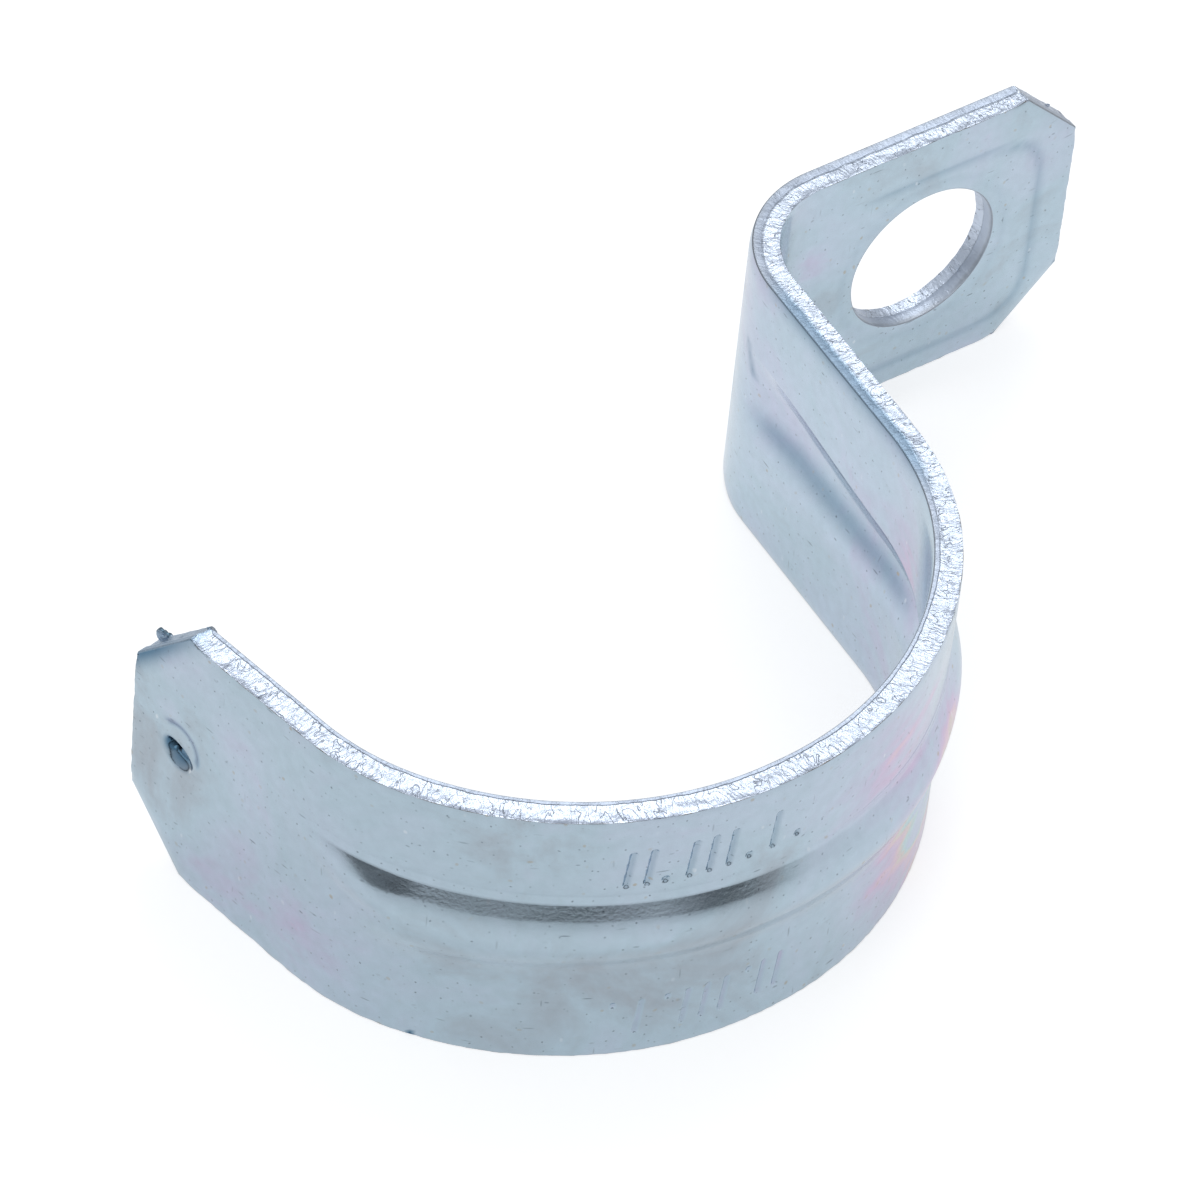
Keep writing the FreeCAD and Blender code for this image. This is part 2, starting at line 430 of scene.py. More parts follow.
# %% Add the burrs
# Each burr: its middle (along, out of the strip's middle, across) and its reach in the same directions.
BURRS = [
    ("free_end_high", (FREE_END + 6.2, 1.35, 28.35), (0.65, 0.60, 0.85)),
    ("free_end_low", (FREE_END + 0.7, 1.50, 23.0), (1.35, 0.60, 0.85)),
    ("foot_high", (FOOT_TIP - 6.2, 0.95, 28.5), (0.55, 0.36, 0.55)),
    ("foot_middle", (FOOT_TIP - 2.8, 0.95, 24.9), (1.30, 0.36, 0.65)),
]
crumble = bpy.data.textures.new("crumble", "CLOUDS")
crumble.noise_scale = 0.6 * MM
crumble.noise_depth = 2
burrs = []
for name, middle, reach in BURRS:
    tidy_selection()
    place = Vector(middle) - Vector((FREE_END, 0, 0))
    bpy.ops.mesh.primitive_ico_sphere_add(subdivisions=4, radius=MM, location=place * MM)
    burr = bpy.context.object
    burr.name = "burr_" + name
    burr.scale = reach
    bpy.ops.object.transform_apply(location=True, rotation=True, scale=True)
    add_modifier(
        burr, "DISPLACE", texture=crumble, texture_coords="LOCAL", mid_level=0.7, strength=0.35 * MM,
    )
    burr.data.materials.append(bpy.data.materials["sheared edge"])
    burrs.append(burr)
make_active(strap)
for burr in burrs:
    burr.select_set(True)
bpy.ops.object.join()
print("burrs joined:", len(burrs), "faces now", len(strap.data.polygons))

# %% [markdown]
# ## Remember the flat strip
# Plating, scratches and rolling marks run along the strip, also round its bends. So before anything is
# bent, every point stores where it lay on the flat strip, and how deep it lies in a cut: 0 on the side
# where the shear entered, 1 on the side where it came out. The materials read both back later.

# %% Store each point's flat place and cut depth
flat = strap.data.attributes.new("flat", "FLOAT_VECTOR", "POINT")
for vertex in strap.data.vertices:
    flat.data[vertex.index].vector = vertex.co + Vector((FREE_END, 0, 0)) * MM
# The clips and the hole show a wider smooth band than the long edges do, hence the power.
SMOOTHER = 1.6
cut_depth = strap.data.attributes.new("cut_depth", "FLOAT", "POINT")
for vertex in strap.data.vertices:
    place = vertex.co / MM
    from_inside = 0.5 - place.y / THICKNESS
    if enters_outside(place.x + FREE_END, place.z):
        cut_depth.data[vertex.index].value = max(0.0, 1 - from_inside) ** SMOOTHER
    else:
        cut_depth.data[vertex.index].value = from_inside
print("flat places stored:", len(strap.data.vertices))


def flat_places():
    """Where every point lay on the flat strip, in millimetres."""
    return [item.vector / MM for item in strap.data.attributes["flat"].data]


# %% [markdown]
# ## Pressing
# Every press tool works the same way here. A function says what share of the tool's depth reaches a
# point of the flat strip. The shares become a vertex group, and a Displace modifier pushes by that
# much.

# %% The press
def press(name, share, depth):
    """Push points along Y by a share of the depth in millimetres. Outwards is negative."""
    shares = [share(place) for place in flat_places()]
    group = strap.vertex_groups.new(name=name)
    for index, value in enumerate(shares):
        if value > 0:
            group.add([index], min(value, 1.0), "REPLACE")
    add_modifier(strap, "DISPLACE", direction="Y", mid_level=0, strength=depth * MM, vertex_group=name)
    strap.vertex_groups.remove(strap.vertex_groups[name])
    print("pressed", name, "- points moved:", sum(value > 0 for value in shares))


# %% [markdown]
# ## The stiffening rib
# The rib is pressed outwards along the middle of the hook, where it stiffens the strip. Its upper flank
# leaves the band at a sharp crease and flattens to the crown, and it is a little less steep in the
# middle of its run and round the right side. Its lower flank runs out more softly. The rib fades away
# at both ends, and at the free end's side it starts as a point on the upper crease and widens from
# there. The whole plate is pushed, so the outside rises and the inside gets its hollow in one go.

# %% Press the rib
RIB_HEIGHT = 1.4
RIB_ENDS = (-45.0, 69.0)
RIB_FADE = (9.0, 11.0)
RIB_START_LAG = 1.3
LOWER_START = 0.5
LOWER_WIDTH = 5.1
FLANK_SLOPE = 0.49
MIDDLE_RUN = (-34.0, -6.0)
MIDDLE_EASE = 0.058
RIGHT_RUN = (-2.0, 32.0)
RIGHT_EASE = 0.09
FLANK_WIDTH = 1.5
CROWN_RISE = 1.38


def rib_share(place):
    """How much of the rib's full height a point of the flat strip gets."""
    low, high = creases(place.x)
    if not low < place.z < high:
        return 0.0
    below = high - place.z
    start = RIB_ENDS[0] + RIB_START_LAG * min(below, 5.0)
    fade = smooth_step((place.x - start) / RIB_FADE[0])
    fade *= smooth_step((RIB_ENDS[1] - place.x) / RIB_FADE[1])
    middle = smooth_step((place.x - MIDDLE_RUN[0]) / 5) * smooth_step((MIDDLE_RUN[1] - place.x) / 5)
    right = smooth_step((place.x - RIGHT_RUN[0]) / 7) * smooth_step((RIGHT_RUN[1] - place.x) / 8)
    slope = FLANK_SLOPE - MIDDLE_EASE * middle - RIGHT_EASE * right
    crown_round = 2 * (CROWN_RISE / slope - FLANK_WIDTH)
    over = max(0.0, min(below - FLANK_WIDTH, crown_round))
    rise = slope * (min(below, FLANK_WIDTH) + over - over ** 2 / (2 * crown_round))
    soft = smooth_step((place.z - low - LOWER_START) / LOWER_WIDTH)
    return fade * soft * rise / RIB_HEIGHT


press("rib", rib_share, -RIB_HEIGHT)

# %% [markdown]
# ## Die lines, and the draw at the cuts
# The rim of the press tool leaves a fine line just above the upper crease, and two fainter ones by the
# lower one. Every cut drags the face beside it in the direction of the blade: at the clips and the hole
# the outside face, and along the strip's long edges the conduit side.

# %% Press the die lines
ON_OUTSIDE = -1.0


def die_lines(place):
    """Fine grooves beside the creases, on the outside only."""
    if place.y > ON_OUTSIDE - 0.2:
        return 0.0
    low, high = creases(place.x)
    reach = smooth_step((place.x + 50) / 12) * smooth_step((60 - place.x) / 12)
    lines = ((high + 0.75, 0.24, 1.0), (low - 0.1, 0.22, 0.5), (low - 1.4, 0.3, 0.3))
    return reach * sum(
        size * math.exp(-((place.z - line) / width) ** 2) for line, width, size in lines
    )


press("die_lines", die_lines, 0.045)

# %% Press the draw at the cuts
def clip_draw(place):
    """The clips' draw, strongest at the outside face, and none at mid thickness."""
    if place.y > 0:
        return 0.0
    return max(0.0, 1 - clip_distance(place.x, place.z) / 1.6) ** 2 * -place.y / HALF


def hole_draw(place):
    """The hole's draw, on the outside face."""
    off = hole_distance(place.x, place.z)
    if place.y > 0 or off > 1.0:
        return 0.0
    return (1 - off) ** 2 * -place.y / HALF


def edge_draw(place):
    """The long edges' draw, on the conduit side."""
    off = min(place.z, WIDTH - place.z)
    if place.y < 0 or off > 1.5:
        return 0.0
    return (1 - off / 1.5) ** 2 * place.y / HALF


press("clip_draw", clip_draw, 0.26)
press("hole_draw", hole_draw, 0.06)
press("edge_draw", edge_draw, -0.22)

# %% [markdown]
# ## Punched bars and dots
# Every stroke is a shallow groove with sloping walls. The upper row went in deeper than the lower one,
# as such marks do when the tool stands a little out of square.

# %% Punch the strokes
DEEPEST = max(depth for start, end, depth in STROKES)


def tally(place):
    """The punched strokes, as a share of the deepest one."""
    if place.y > ON_OUTSIDE or not -16 < place.x < 4:
        return 0.0
    share = 0.0
    for stroke in STROKES:
        off = stroke_distance(place.x, place.z, stroke)
        share = max(share, smooth_step((0.4 - off) / 0.3) * stroke[2] / DEEPEST)
    return share


press("tally", tally, DEEPEST)

# %% [markdown]
# ## The pad round the bolt hole
# The foot is flattened by a punch with a nearly square face. Its edge shows as a faint line, and the
# piercing punch leaves a ring round the hole. Both are so shallow that only the shine gives them away.

# %% Press the pad and the ring
PAD_MIDDLE = (92.6, 13.6)
PAD_REACH = (13.0, 11.2)


def pad_line(place):
    """The edge of a square with well rounded corners, on the foot's outside face."""
    if place.y > ON_OUTSIDE:
        return 0.0
    across = abs(place.z - PAD_MIDDLE[1]) / PAD_REACH[1]
    along = abs(place.x - PAD_MIDDLE[0]) / PAD_REACH[0]
    reach = (across ** 5 + along ** 5) ** 0.2
    here = smooth_step((place.x - 84) / 5)
    return here * math.exp(-((reach - 1) * 12 / 0.45) ** 2)


def hole_ring(place):
    """A faint ring a little way out from the hole's edge."""
    if place.y > ON_OUTSIDE:
        return 0.0
    return math.exp(-((hole_distance(place.x, place.z) - 1.3) / 0.4) ** 2)


press("pad_line", pad_line, 0.07)
press("hole_ring", hole_ring, 0.035)

# %% [markdown]
# ## The pilot mark
# A blunt punch has left a round ledge near the free end, with a ragged pit beside its middle where the
# punch's pin broke into the steel.

# %% Press the ledge and the pit
def ledge(place):
    """The round ledge, with a short slope for its wall."""
    if place.y > ON_OUTSIDE:
        return 0.0
    off = math.hypot(place.x - MARK[0], place.z - MARK[1])
    return smooth_step((2.5 - off) / 0.28)


def pit(place):
    """An oval funnel, longer down to the right, with a deep ragged spot at its upper left."""
    if place.y > ON_OUTSIDE:
        return 0.0
    off = Vector((place.x - PIT[0], place.z - PIT[1]))
    turned = Vector((off.x * 0.9 - off.y * 0.43, off.x * 0.43 + off.y * 0.9))
    oval = math.hypot(turned.x / 2.15, turned.y / 1.3)
    deep = math.hypot(off.x + 0.85, off.y - 0.45)
    return 0.5 * smooth_step((1 - oval) / 0.6) + 0.5 * smooth_step((0.75 - deep) / 0.35)


press("ledge", ledge, 0.12)
press("pit", pit, 1.1)

# %% [markdown]
# ## Torn steel
# Past its smooth band a cut is torn. A vertex group on the sheared rims and a Displace modifier with a
# fine cloud texture roughen that part. The texture's middle is set so high that it takes steel away and
# adds hardly any, because a tear never stands proud of the strip's edge.

# %% Roughen the rims
TORN_FROM = 0.28
FAR_SIDE = 0.95
torn = strap.vertex_groups.new(name="torn")
rim_points = set()
for face in strap.data.polygons:
    if face.material_index == 1:
        rim_points.update(face.vertices)
depths = [item.value for item in strap.data.attributes["cut_depth"].data]
for index in rim_points:
    if depths[index] > TORN_FROM:
        torn.add([index], 1.0 if depths[index] < FAR_SIDE else 0.5, "REPLACE")
tear = bpy.data.textures.new("tear", "CLOUDS")
tear.noise_scale = 0.9 * MM
tear.noise_depth = 2
add_modifier(
    strap, "DISPLACE",
    texture=tear, texture_coords="LOCAL", mid_level=0.9, strength=0.3 * MM, vertex_group="torn",
)
strap.vertex_groups.remove(strap.vertex_groups["torn"])
print("rim points roughened:", len(rim_points), "height now", round(strap.dimensions.z / MM, 3), "mm")

# %% [markdown]
# ## Bending
# The strip is bent by a Curve modifier, which lays the flat strip along a path. The path is the strip's
# middle line: straight runs and round bends that meet smoothly. Each round bend is a Bezier arc whose
# handles have the length that makes it a true circle.

# %% Lay out the middle line
# A stretch is a straight run (length, 0) or a round bend (radius, angle in degrees, positive to the
# left).
BENDS_TO_FOOT = [
    (0.45, 0.0),
    (30.7 + HALF, 54.5),
    (25.1 + HALF, 31.7),
    (19.9, 0.0),
    (8.55 + HALF, -86.2),
    (28.902, 0.0),
]
BENDS_TO_FREE_END = [
    (0.45, 0.0),
    (30.7 + HALF, -54.5),
    (22.7 + HALF, -25.6),
    (20.2, 0.0),
]


def walk(stretches, heading):
    """Points of a path as [place, direction, handle in, handle out], in millimetres."""
    place = Vector((0, -SEAT_FRONT - HALF, 0))
    stops = [[place.copy(), heading, 0.0, 0.0]]
    for size, turn in stretches:
        parts = max(1, math.ceil(abs(turn) / 30))
        for part in range(parts):
            step = math.radians(turn) / parts
            if turn == 0:
                place = place + Vector((math.cos(heading), math.sin(heading), 0)) * size
                handle = size / 3
            else:
                side = math.copysign(1, turn)
                centre = place + Vector((-math.sin(heading), math.cos(heading), 0)) * size * side
                place = centre + Matrix.Rotation(step, 3, "Z") @ (place - centre)
                heading += step
                handle = 4 / 3 * math.tan(abs(step) / 4) * size
            stops[-1][3] = handle
            stops.append([place.copy(), heading, handle, 0.0])
    return stops


to_foot = walk(BENDS_TO_FOOT, 0.0)
to_free = walk(BENDS_TO_FREE_END, math.pi)
path = []
for place, heading, before, after in reversed(to_free):
    path.append([place, heading - math.pi, after, before])
path[-1][3] = to_foot[0][3]
path += to_foot[1:]
print("points on the bending path:", len(path))

# %% Draw the bending path
tidy_selection()
bpy.ops.curve.primitive_bezier_curve_add()
former = bpy.context.object
former.name = "bending_path"
former.data.dimensions = "3D"
former.data.twist_mode = "Z_UP"
former.data.resolution_u = 48
spline = former.data.splines[0]
spline.bezier_points.add(len(path) - 2)
for point, (place, heading, before, after) in zip(spline.bezier_points, path):
    ahead = Vector((math.cos(heading), math.sin(heading), 0))
    point.handle_left_type = "FREE"
    point.handle_right_type = "FREE"
    point.co = place * MM
    point.handle_left = (place - ahead * before) * MM
    point.handle_right = (place + ahead * after) * MM
print("path length:", round(spline.calc_length() / MM, 3), "mm, flat strip:", round(LENGTH, 3), "mm")

# %% Bend the strip
add_modifier(strap, "CURVE", object=former, deform_axis="POS_X")
bpy.data.objects.remove(former)
make_active(strap)
bpy.ops.object.shade_smooth_by_angle(angle=math.radians(32))
corners = [strap.bound_box[i] for i in (0, 6)]
print("bent strap:", [[round(v / MM, 2) for v in corner] for corner in corners])

# %% [markdown]
# ## Bright zinc plate
# The strap is plated with zinc and dipped in a clear blue passivate. To the eye that is a soft metallic
# sheen, blue-grey, with faint lilac, pink and teal clouds where the film's thickness changes. It needs
# a few small helpers, for colours, for nodes and their links, for colour ramps and to start a material.

# %% Helpers for materials
def colour(code):
    """An sRGB hex code as a linear colour, which is what the shaders work in."""
    parts = [int(code[i:i + 2], 16) / 255 for i in (1, 3, 5)]
    linear = [c / 12.92 if c <= 0.04045 else ((c + 0.055) / 1.055) ** 2.4 for c in parts]
    return (*linear, 1.0)


def feed(tree, target, inputs):
    """Link or set a node's inputs. A node given as a value stands for its first output."""
    for key, value in dict(inputs).items():
        if isinstance(value, bpy.types.Node):
            value = value.outputs[0]
        if isinstance(value, bpy.types.NodeSocket):
            tree.links.new(value, target.inputs[key])
        else:
            target.inputs[key].default_value = value


def node(tree, kind, inputs=(), **settings):
    """Add a shader node with its settings, and feed its inputs."""
    new = tree.nodes.new("ShaderNode" + kind)
    for key, value in settings.items():
        setattr(new, key, value)
    feed(tree, new, inputs)
    return new


def fill_ramp(ramp, stops):
    """Give a colour ramp these (position, hex code) stops."""
    for place, (position, code) in ((0, stops[0]), (1, stops[-1])):
        ramp.elements[place].position = position
        ramp.elements[place].color = colour(code)
    for position, code in stops[1:-1]:
        ramp.elements.new(position).color = colour(code)


def start_material(name):
    """An empty node tree with a Principled shader wired to the output."""
    material = bpy.data.materials.get(name) or bpy.data.materials.new(name)
    material.use_nodes = True
    tree = material.node_tree
    tree.nodes.clear()
    shader = node(tree, "BsdfPrincipled")
    node(tree, "OutputMaterial", {"Surface": shader})
    return material, tree, shader


print("mid grey in linear light:", [round(part, 3) for part in colour("#808080")])

# %% [markdown]
# The passivate film is thin enough to show colours. The film gets a value for each point: low is plain
# blue-grey, and higher values run through lilac, pink and pale orange to green. It is thickest where
# the liquid drained off last, which is round the hook's right side, and in a few smaller patches. Below
# zero the value greys and darkens the steel, and on the front that is painted shade.

# %% Where the film is thick
# Each patch: its middle along and across, its reach along and across, its side of the strip (-1 is the
# outside) and what it adds to the film.
FILM_AND_SHADE_PATCHES = [
    ("right of the hook, high", 14.0, 23.5, 9.0, 5.0, -1, 0.38),
    ("right of the hook, low", 19.0, 8.0, 9.0, 9.0, -1, 0.56),
    ("lower right", 27.0, 9.0, 6.0, 8.0, -1, 0.50),
    ("neck, inside", 38.0, 17.5, 6.0, 7.0, 1, 0.45),
    ("root of the foot", 80.0, 19.0, 2.4, 3.2, -1, 0.34),
    ("free end, low", -46.0, 5.5, 11.0, 7.0, -1, 0.22),
    ("free end, middle", -46.0, 17.0, 3.5, 5.0, -1, 0.12),
    ("free end, high", -50.0, 22.0, 5.0, 5.0, -1, 0.12),
    ("free end, greyer", -57.0, 15.0, 7.0, 12.0, -1, -0.16),
    # Painted shade: the two front patches take the film below zero, which greys and darkens the front
    # where it mirrors a darker floor.
    ("front, painted shade", -17.0, 9.0, 21.0, 12.0, -1, -0.19),
    ("front, upper band", -24.0, 25.0, 10.0, 6.0, -1, -0.14),
    ("above the pilot mark", MARK[0] - 1.0, MARK[1] + 3.4, 1.6, 1.4, -1, 0.3),
]


def crescent(place):
    """The ledge's wall, which shows as a thin dark arc on its upper right."""
    off = Vector((place.x - MARK[0], place.z - MARK[1]))
    if off.length > 3:
        return 0.0
    turn = math.degrees(math.atan2(off.y, off.x))
    ends = smooth_step((turn + 30) / 25) * smooth_step((140 - turn) / 25)
    return ends * math.exp(-((off.length - 2.36) / 0.34) ** 2)


def film_and_shade_value(place):
    """Film value and painted shade at a point: the patches, the mark's wall and the lower strokes."""
    value = 0.45 * crescent(place) if place.y < 0 else 0.0
    if place.z < WIDTH / 2:
        value += 0.5 * tally(place)
    for name, along, across, reach_along, reach_across, side, amount in FILM_AND_SHADE_PATCHES:
        if place.y * side > 0:
            off = ((place.x - along) / reach_along) ** 2 + ((place.z - across) / reach_across) ** 2
            value += amount * math.exp(-off)
    return value


values = [film_and_shade_value(place) for place in flat_places()]
film = strap.data.attributes.new("film", "FLOAT", "POINT")
film.data.foreach_set("value", values)
print("thickest film:", round(max(values), 2))

# %% [markdown]
# Dirt and the bath leave stains, and shade is painted in beside them. Both share one value: up to
# about 0.7 it blues the steel, and above that it turns it nearly black, as in the pit. The blue is
# strongest on the free end's upper clip, in the rib's hollow, and in the marks' grooves. On the clip,
# in the hollow and along the inside's top edge it is painted shade, the near black of the pit's deep
# tear is painted shade, and in the punched strokes it is painted shade and dirt.

# %% Where the steel is stained or blued
# Each dark spot: its middle along and across, its reach and its strength.
DARK_SPOTS = [
    ("pit", PIT[0] + 0.1, PIT[1] - 0.1, 1.35, 0.66),
    # Painted shade: the pit's upper end and its two tears are near black, the dark of the ragged hole.
    ("pit's upper end", PIT[0] - 0.8, PIT[1] + 0.4, 1.0, 1.0),
    ("pit's tear, up", PIT[0] - 0.25, PIT[1] + 1.0, 0.3, 0.95),
    ("pit's tear, down", PIT[0] - 0.35, PIT[1] - 0.1, 0.35, 0.95),
    ("nick on the lower edge", -29.7, 0.2, 0.3, 1.0),
    ("nick on the foot", FOOT_TIP - 0.2, 6.4, 0.3, 0.9),
]
NO_DEPTH = 0
SCUFF = (Vector((67.4, 20.6)), Vector((66.3, 17.6)), NO_DEPTH)


def inside_shade_and_scuff(place):
    """Soft blue painted shade in the rib's hollow and along the top edge, and a short scuff by the
    bend.
    """
    if not 36 < place.x < 70:
        return 0.0
    ends = smooth_step((place.x - 36) / 7) * smooth_step((68 - place.x) / 6)
    hollow = math.exp(-((place.z - 13.4) / 1.3) ** 2)
    scuff = max(0.0, 1 - stroke_distance(place.x, place.z, SCUFF) / 0.7)
    top = math.exp(-(WIDTH - place.z) / 0.8)
    return max(ends * max(0.4 * hollow, 0.42 * top), 0.4 * scuff)


def clip_shade(place):
    """Painted shade by the free end's upper clip: blue on its face and a blue band beside it outside.
    """
    if place.x > FREE_END + 9 or place.z < 19:
        return 0.0
    off = clip_distance(place.x, place.z)
    if off < ON_A_CLIP:
        return 0.5
    if place.y > 0:
        return 0.0
    lower = smooth_step((FREE_END + 8.5 - place.x) / 7)
    return 0.72 * (0.3 + 0.7 * lower) * math.exp(-(off / 1.15) ** 2)


def stain_and_shade_value(place):
    """The strongest of the stains and painted shade at a point."""
    at_clip = clip_shade(place)
    if place.y > 0:
        return max(at_clip, inside_shade_and_scuff(place))
    if at_clip > 0.02:
        return at_clip
    # Painted shade and dirt together darken the punched strokes.
    value = max(
        0.6 * crescent(place), 0.22 * pad_line(place), 0.06 * hole_ring(place), 0.2 * tally(place),
    )
    for name, along, across, reach, amount in DARK_SPOTS:
        off = math.hypot(place.x - along, place.z - across)
        value = max(value, amount * smooth_step((reach * 1.4 - off) / reach))
    return value


values = [stain_and_shade_value(place) for place in flat_places()]
stain_and_shade = strap.data.attributes.new("stain_and_shade", "FLOAT", "POINT")
stain_and_shade.data.foreach_set("value", values)
print("stained points:", sum(value > 0.02 for value in values))

# %% [markdown]
# Cold-rolled steel with bright zinc is smooth but not polished, so the eye sees soft reflections with a
# tint. The tint comes from a colour ramp over the film's value. Wide clouds make it swing a little
# everywhere, and slanted streaks break up the thick patches, as the liquid ran off at a slant.

# %% The rolled, plated face: colours of the film
zinc, tree, shader = start_material("bright zinc plate on rolled steel")
flat_place = node(tree, "Attribute", attribute_name="flat").outputs["Vector"]
# The film value also carries the painted shade on the front.
thickness = node(tree, "Attribute", attribute_name="film").outputs["Fac"]
clouds = node(
    tree,
    "TexNoise",
    {"Vector": flat_place, "Scale": 1 / (14 * MM), "Detail": 5.0, "Roughness": 0.6, "Distortion": 0.8},
)
swing = node(tree, "MapRange", {0: clouds, 1: 0.3, 2: 0.7, 3: -0.13, 4: 0.35})
slanted = node(
    tree,
    "Mapping",
    {"Vector": flat_place, "Rotation": (0, math.radians(-24), 0), "Scale": (0.3, 1, 1)},
)
streaks = node(
    tree, "TexNoise", {"Vector": slanted, "Scale": 1 / (3.2 * MM), "Detail": 4.0, "Distortion": 0.4},
)
ripple = node(tree, "MapRange", {0: streaks, 1: 0.3, 2: 0.7, 3: 0.35, 4: 1.6})
rippled = node(tree, "Math", {0: thickness, 1: ripple}, operation="MULTIPLY")
thick_enough = node(tree, "Math", {0: thickness, 1: 0.05}, operation="GREATER_THAN")
layer = node(tree, "Mix", {0: thick_enough, 2: thickness, 3: rippled}, data_type="FLOAT")
total = node(tree, "Math", {0: swing, 1: layer}, operation="ADD")
share = node(tree, "MapRange", {0: total, 1: -0.25, 2: 1.0})
tint = node(tree, "ValToRGB", {"Fac": share})
FILM_COLOURS = [
    (-0.25, "#AFB8C1"),
    (0.0, "#BDD0DC"),
    (0.22, "#C4D2E1"),
    (0.42, "#C8C9DE"),
    (0.56, "#D3C1DB"),
    (0.68, "#DFC5D2"),
    (0.78, "#DAD0C8"),
    (0.90, "#B9DADB"),
    (1.0, "#BED0E6"),
]
fill_ramp(tint.color_ramp, [((value + 0.25) / 1.25, code) for value, code in FILM_COLOURS])
print("film colours:", len(FILM_COLOURS))

# %% [markdown]
# The stains and the painted shade lie over the film: first the blue, then the near black.

# %% The rolled, plated face: stains and painted shade
stained_and_shaded = node(tree, "Attribute", attribute_name="stain_and_shade").outputs["Fac"]
blue = node(tree, "MapRange", {0: stained_and_shaded, 2: 0.7, 4: 0.9})
black = node(tree, "MapRange", {0: stained_and_shaded, 1: 0.7, 2: 1.0})
blued = node(tree, "Mix", {0: blue, 6: tint, 7: colour("#4A7694")}, data_type="RGBA").outputs[2]
blackened = node(tree, "Mix", {0: black, 6: blued, 7: colour("#12171C")}, data_type="RGBA").outputs[2]
print("nodes so far:", len(tree.nodes))

# %% [markdown]
# Close up, a plated face has pinholes, tan and pale flecks, and hairline scratches. They are too many
# to model, so a Voronoi pattern scatters them. A cell's distance gives a round spot, its random colour
# says whether the spot is there, and stretching the pattern turns spots into hairlines. The real ones
# are finer still, and are drawn as coarse as they need to show.

# %% The rolled, plated face: specks and hairlines
def scattered(distance_between, radius, share, stretch, turn):
    """Small spots of one size, some stronger than others, on a share of a Voronoi pattern's cells."""
    laid = node(
        tree,
        "Mapping",
        {"Vector": flat_place, "Rotation": (math.radians(90), 0, math.radians(turn)), "Scale": stretch},
    )
    wavy = node(
        tree, "TexNoise", {"Vector": laid, "Scale": 1 / (2.5 * distance_between * MM)},
    ).outputs["Color"]
    bent = node(
        tree,
        "VectorMath",
        {0: wavy, 1: (distance_between * MM,) * 3, 2: laid},
        operation="MULTIPLY_ADD",
    )
    cells = node(
        tree,
        "TexVoronoi",
        {"Vector": bent, "Scale": 1 / (distance_between * MM)},
        voronoi_dimensions="2D",
    )
    reach = radius / distance_between
    spot = node(
        tree, "MapRange", {0: cells.outputs["Distance"], 1: reach * 0.5, 2: reach, 3: 1.0, 4: 0.0},
    )
    keep = node(tree, "MapRange", {0: cells.outputs["Color"], 1: 1 - share, 2: 1.0})
    return node(tree, "Math", {0: spot, 1: keep}, operation="MULTIPLY")


# Each kind: distance between spots, radius, share kept, stretch, turn, strength and colour.
SPECKS = [
    ("pinholes", 1.2, 0.11, 0.55, (1, 1, 1), 0, 0.7, "#4F565E"),
    ("tan flecks", 2.9, 0.22, 0.4, (1, 1, 1), 20, 0.7, "#B3A283"),
    ("pale flecks", 3.9, 0.18, 0.4, (1, 1, 0.6), -35, 0.6, "#EEF2F6"),
    ("hairlines along", 1.7, 0.09, 0.45, (0.18, 1, 1), 24, 0.7, "#5F6871"),
    ("hairlines across", 2.1, 0.09, 0.35, (1, 1, 0.16), 14, 0.6, "#646D76"),
    ("steep hairlines", 1.8, 0.09, 0.4, (0.35, 1, 0.75), 55, 0.6, "#646D76"),
]
specked = blackened
for name, distance_between, radius, share, stretch, turn, strength, code in SPECKS:
    spots = scattered(distance_between, radius, share, stretch, turn)
    faded = node(tree, "Math", {0: spots, 1: strength}, operation="MULTIPLY")
    specked = node(tree, "Mix", {0: faded, 6: specked, 7: colour(code)}, data_type="RGBA").outputs[2]
print("kinds of specks:", len(SPECKS))

# %% The rolled, plated face: mottle
mottle = node(
    tree, "TexNoise", {"Vector": flat_place, "Scale": 1 / (1.1 * MM), "Detail": 5.0, "Roughness": 0.65},
)
shade = node(tree, "MapRange", {0: mottle, 1: 0.3, 2: 0.7, 3: 0.955, 4: 1.035})
mottled = node(tree, "VectorMath", {0: specked, "Scale": shade}, operation="SCALE")
feed(tree, shader, {"Metallic": 1.0, "Base Color": mottled})
print("nodes so far:", len(tree.nodes))

# %% [markdown]
# The shine of bright zinc varies over a few millimetres. Under it lies the fine grain of the plating,
# and the rolling lines of the steel, which run along the strip and are stretched for that. Both are a
# few thousandths of a millimetre high, so a bump in the material does for them.

# %% The rolled, plated face: gloss and grain
gloss = node(tree, "TexNoise", {"Vector": flat_place, "Scale": 1 / (5 * MM), "Detail": 4.0})
dull = node(tree, "MapRange", {0: gloss, 1: 0.3, 2: 0.7, 3: 0.12, 4: 0.22})
grain = node(tree, "TexNoise", {"Vector": flat_place, "Scale": 1 / (0.35 * MM), "Detail": 2.0})
rolled = node(
    tree, "Mapping", {"Vector": flat_place, "Rotation": (0, math.radians(4), 0), "Scale": (0.06, 1, 1)},
)
scratches = node(tree, "TexNoise", {"Vector": rolled, "Scale": 1 / (0.5 * MM), "Detail": 3.0})
fine = node(tree, "Bump", {"Height": grain, "Distance": 0.005 * MM, "Strength": 1.0})
lined = node(
    tree, "Bump", {"Height": scratches, "Distance": 0.003 * MM, "Strength": 1.0, "Normal": fine},
)
feed(tree, shader, {"Roughness": dull, "Normal": lined})
print("material:", zinc.name)

# %% [markdown]
# ## The cut edge
# From the side where the shear entered, a cut shows a smooth band, a fine dark groove, and then torn
# steel that glitters like broken sugar. Along the far side runs a thin dark line, where the burr holds
# dirt. A colour ramp over the stored cut depth draws these zones, and some noise makes their borders
# waver. The smooth band is narrow round the hook and wide on the neck, where the blade went in deeper
# before the steel tore. Its colour is scaled darker on the neck and lighter again on the foot.

